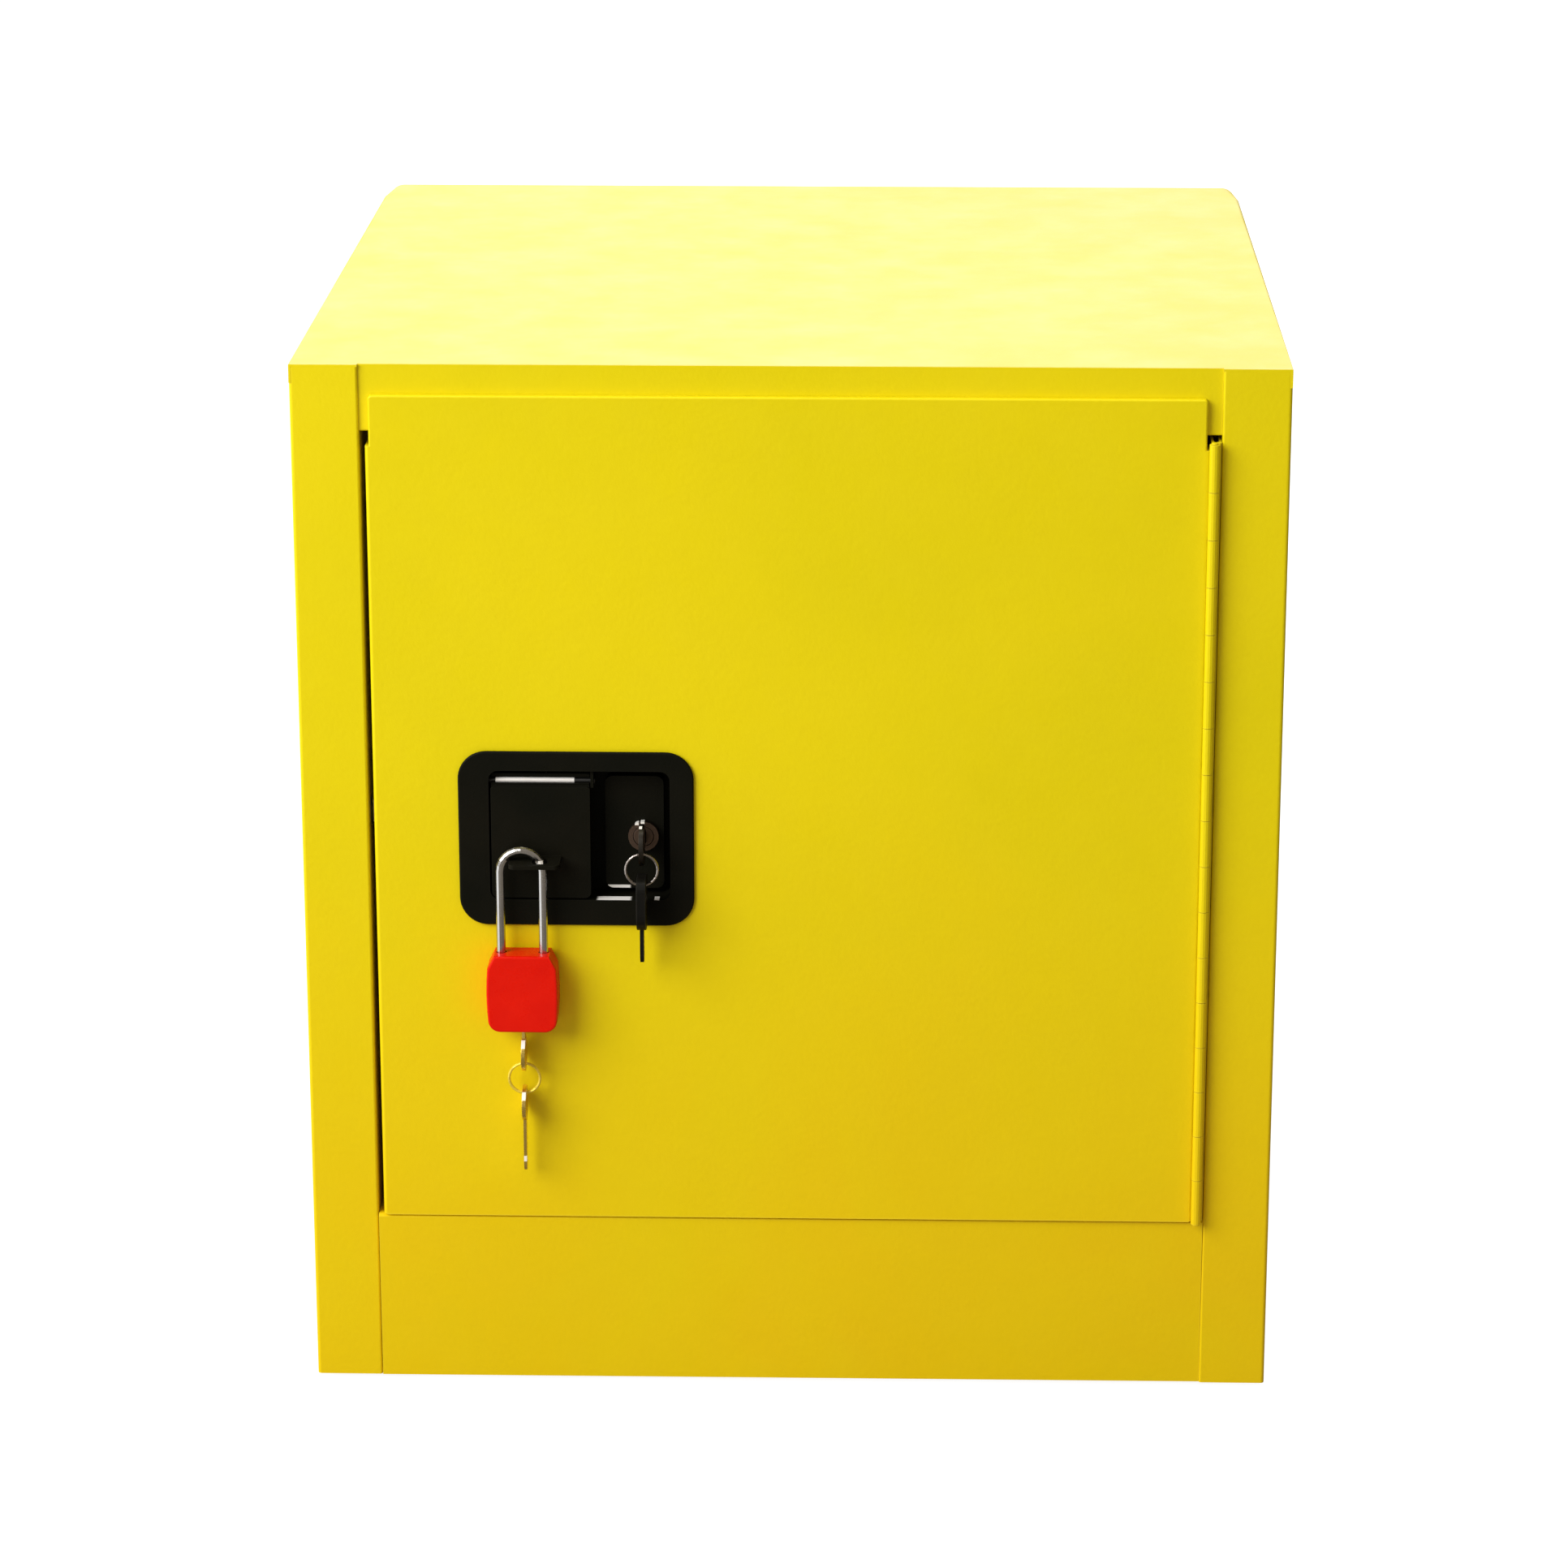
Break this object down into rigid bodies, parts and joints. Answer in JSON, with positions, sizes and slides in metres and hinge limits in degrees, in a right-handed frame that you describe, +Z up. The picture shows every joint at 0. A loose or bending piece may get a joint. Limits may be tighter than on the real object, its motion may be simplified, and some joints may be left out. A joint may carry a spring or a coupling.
{
  "type": "flammable safety cabinet",
  "caption": "Double-walled yellow bench-top cabinet for flammable liquids with one hinged door, recessed paddle latch with key lock, padlock, shelf and sump.",
  "frame": {"origin": "on the floor below the middle of the whole object's bounding box", "axes": "+X to the right seen from the front, +Y to the back, +Z up; the door faces -Y"},
  "size_m": [0.51, 0.547, 0.56],
  "materials": {
    "yellow_powder_coat": "yellow powder coat, satin, slight orange peel",
    "black_powder_coat": "black powder coat, satin",
    "zinc_steel": "bright zinc plating",
    "chrome": "polished chrome plating",
    "key_steel": "nickel plating, lightly scratched",
    "black_plastic": "moulded black plastic",
    "red_enamel": "glossy red enamel",
    "brass": "machined brass",
    "rubber": "black moulded rubber"
  },
  "bodies": {
    "cabinet": {"outer_wrap": "yellow_powder_coat", "back_panel": "yellow_powder_coat", "base_pan": "yellow_powder_coat", "header_rail": "yellow_powder_coat", "sill_rail": "yellow_powder_coat", "inner_liner": "yellow_powder_coat", "sump_tray": "yellow_powder_coat", "strike_plate": "zinc_steel", "earth_stud": "brass", "hinge_frame_leaf": "yellow_powder_coat", "hinge_pin": "zinc_steel", "vent_body_high": "zinc_steel", "vent_body_low": "zinc_steel", "vent_cap_high": "black_plastic", "vent_cap_low": "black_plastic", "shelf_standard_left_front": "zinc_steel", "shelf_standard_left_back": "zinc_steel", "shelf_standard_right_front": "zinc_steel", "shelf_standard_right_back": "zinc_steel", "shelf_clip_left_front": "zinc_steel", "shelf_clip_left_back": "zinc_steel", "shelf_clip_right_front": "zinc_steel", "shelf_clip_right_back": "zinc_steel", "foot_1": "rubber", "foot_2": "rubber", "foot_3": "rubber", "foot_4": "rubber"},
    "shelf": {"shelf": "zinc_steel"},
    "door": {"door_outer_skin": "yellow_powder_coat", "door_inner_skin": "yellow_powder_coat", "hinge_door_leaf": "yellow_powder_coat", "lock_housing": "black_powder_coat", "paddle_pin": "chrome", "crank_pin": "zinc_steel", "bolt_case": "zinc_steel", "bolt_spring": "zinc_steel", "lock_cylinder": "chrome", "lock_nut": "zinc_steel"},
    "paddle": {"paddle": "black_powder_coat"},
    "bell_crank": {"bell_crank": "zinc_steel"},
    "latch_bolt": {"latch_bolt": "zinc_steel"},
    "lock_plug": {"lock_plug": "chrome", "lock_cam": "zinc_steel", "door_key": "key_steel"},
    "door_key_ring": {"door_key_ring": "chrome"},
    "door_spare_key": {"door_spare_key": "black_plastic"},
    "shackle": {"padlock_shackle": "chrome"},
    "padlock_body": {"padlock_body": "red_enamel"},
    "padlock_plug": {"padlock_plug": "brass", "padlock_key": "key_steel"},
    "padlock_key_ring": {"padlock_key_ring": "chrome"},
    "padlock_spare_key": {"padlock_spare_key": "key_steel"}
  },
  "joints": [
    {"name": "door_swing", "type": "hinge", "parent": "cabinet", "child": "door", "pos_m": [0.216, -0.25148, 0.31], "axis": [0, 0, 1], "range_deg": [0, 170]},
    {"name": "shelf_lift", "type": "slide", "parent": "cabinet", "child": "shelf", "axis": [0, 0, 1], "range_m": [0, 0.06]},
    {"name": "paddle_pull", "type": "hinge", "parent": "door", "child": "paddle", "pos_m": [-0.1395, -0.24648, 0.34], "axis": [-1, 0, 0], "range_deg": [0, 30], "stiffness_Nm_per_rad": 0.3},
    {"name": "crank_turn", "type": "hinge", "parent": "door", "child": "bell_crank", "pos_m": [-0.106, -0.22748, 0.336], "axis": [0, -1, 0], "range_deg": [0, 36.5]},
    {"name": "bolt_slide", "type": "slide", "parent": "door", "child": "latch_bolt", "axis": [1, 0, 0], "range_m": [0, 0.0107], "deforming": ["bolt_spring"]},
    {"name": "key_turn", "type": "hinge", "parent": "door", "child": "lock_plug", "pos_m": [-0.0765, -0.24328, 0.3085], "axis": [0, 1, 0], "range_deg": [-90, 0]},
    {"name": "door_ring_swing", "type": "hinge", "parent": "lock_plug", "child": "door_key_ring", "pos_m": [-0.0765, -0.26323, 0.3051], "axis": [-1, 0, 0], "range_deg": [0, 30]},
    {"name": "door_spare_swing", "type": "hinge", "parent": "door_key_ring", "child": "door_spare_key", "pos_m": [-0.0765, -0.26323, 0.2883], "axis": [-1, 0, 0], "range_deg": [0, 30]},
    {"name": "padlock_swing", "type": "hinge", "parent": "paddle", "child": "shackle", "pos_m": [-0.1395, -0.25898, 0.3052], "axis": [-1, 0, 0], "range_deg": [0, 25]},
    {"name": "padlock_release", "type": "slide", "parent": "shackle", "child": "padlock_body", "axis": [0, 0, -1], "range_m": [0, 0.01]},
    {"name": "padlock_key_turn", "type": "hinge", "parent": "padlock_body", "child": "padlock_plug", "pos_m": [-0.1395, -0.25898, 0.2075], "axis": [0, 0, 1], "range_deg": [0, 90]},
    {"name": "padlock_ring_swing", "type": "hinge", "parent": "padlock_plug", "child": "padlock_key_ring", "pos_m": [-0.1395, -0.25898, 0.18765], "axis": [-1, 0, 0], "range_deg": [0, 30]},
    {"name": "padlock_spare_swing", "type": "hinge", "parent": "padlock_key_ring", "child": "padlock_spare_key", "pos_m": [-0.1395, -0.25898, 0.17125], "axis": [-1, 0, 0], "range_deg": [0, 30]}
  ],
  "couplings": [
    {"joint": "crank_turn", "follows": "paddle_pull", "ratio": 1.2},
    {"joint": "bolt_slide", "follows": "paddle_pull", "m_per_rad": 0.0202}
  ]
}
